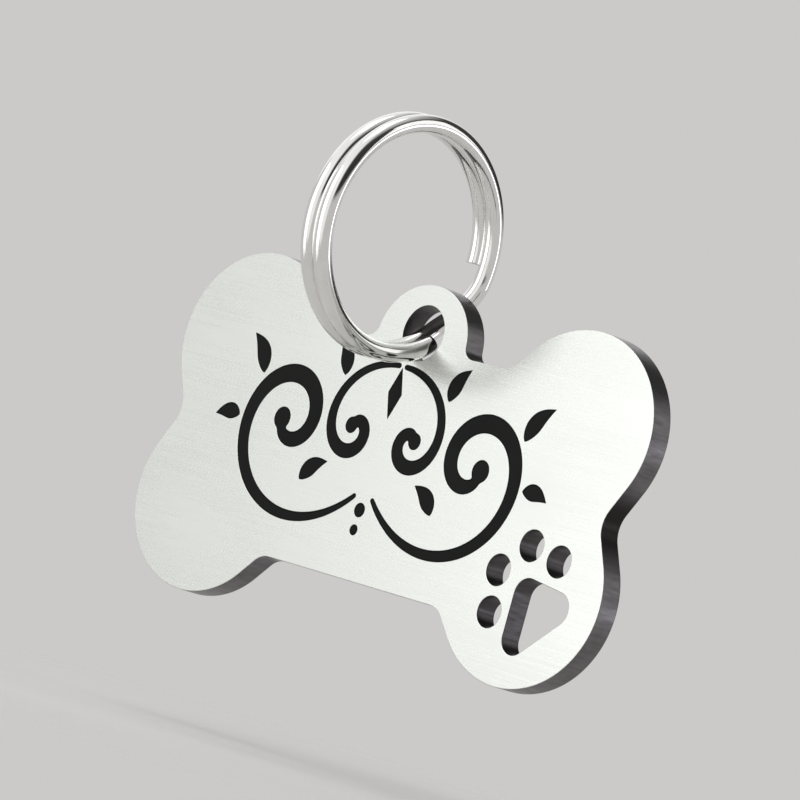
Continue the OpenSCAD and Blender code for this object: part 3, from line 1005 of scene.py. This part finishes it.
# The direction of each patch, and where it begins and is full as the cosine of the angle to it
RIGHT_WAY, RIGHT_REACH = (0.79, 0.61, 0.0), (-0.1, 0.25)
FRONT_WAY, FRONT_REACH, FRONT_PALE = (0.17, -0.98, 0.03), (0.84, 0.93), (0.98, 0.98, 0.975)
WINDOW_WAY, WINDOW_REACH, WINDOW_PALE = (-0.87, -0.5, 0.0), (0.80, 0.93), (0.62, 0.62, 0.615)

world = bpy.data.worlds.new("studio")
bpy.context.scene.world = world
sky = Tree(world)
way = sky.coordinates("Generated")
height = sky.component(way, "Z") * 0.5 + 0.5


def towards(direction, reach):
    """How far a sky direction has turned towards this one: their dot product, from 0 to 1 over the reach."""
    vectors = {0: way, 1: direction}
    dot = sky.add("ShaderNodeVectorMath", {"operation": "DOT_PRODUCT"}, vectors, output="Value")
    return sky.rise(dot, *reach)


left_sky, right_sky = [sky.add("ShaderNodeValToRGB", {"stops": stops}, {0: height})
                       for stops in (LEFT_STOPS, RIGHT_STOPS)]
both_skies = sky.mix(towards(RIGHT_WAY, RIGHT_REACH), left_sky, right_sky)
with_front = sky.mix(towards(FRONT_WAY, FRONT_REACH), both_skies, FRONT_PALE)
whole_sky = sky.mix(towards(WINDOW_WAY, WINDOW_REACH), with_front, WINDOW_PALE)
background = sky.add("ShaderNodeBackground", {}, {"Color": whole_sky, "Strength": 1.0})
sky.add("ShaderNodeOutputWorld", {}, {"Surface": background})
print("sky:", len(world.node_tree.nodes), "nodes")

# %% [markdown]
# Four soft lamps give the light a direction. Sun or point lamps would leave hard shadows and small
# glints. The tall one in front at the left lights the face evenly, the one overhead and the one
# behind at the right shape the edges, and a weak bluish one low behind lifts the walls that look
# to the right. The camera doesn't see them, but the steel does.

# %% Lamps
WHITE, BLUISH = (1.0, 1.0, 1.0), (0.86, 0.84, 1.0)
# Name, place, width and height, power and colour
LAMPS = (
    ("front_left_window", (-0.34, -0.72, 0.02), (0.55, 1.10), 2.25, WHITE),
    ("overhead", (-0.2, -0.1, 0.9), (0.5, 0.5), 1.0, WHITE),
    ("back_right", (0.6, 0.5, 0.45), (0.5, 0.5), 0.9, WHITE),
    ("low_back_right", (0.58, 0.56, 0.02), (0.16, 0.16), 0.19, BLUISH))


def soft_lamp(name, place, size, power, colour):
    """A rectangular soft lamp that faces the tag."""
    data = bpy.data.lights.new(name, "AREA")
    data.shape = "RECTANGLE"
    data.size, data.size_y = size
    data.energy, data.color = power, colour
    lamp = add_object(name, data)
    lamp.location = place
    lamp.rotation_euler = (-Vector(place)).to_track_quat("-Z", "Y").to_euler()
    lamp.visible_camera = False


for row in LAMPS:
    soft_lamp(*row)
print("lamps:", [row[0] for row in LAMPS])

# %% [markdown]
# Last, the view transform. The default one greys out whites, and Standard shows a colour as it was
# written.

# %% Settings and finish
bpy.context.scene.view_settings.view_transform = "Standard"
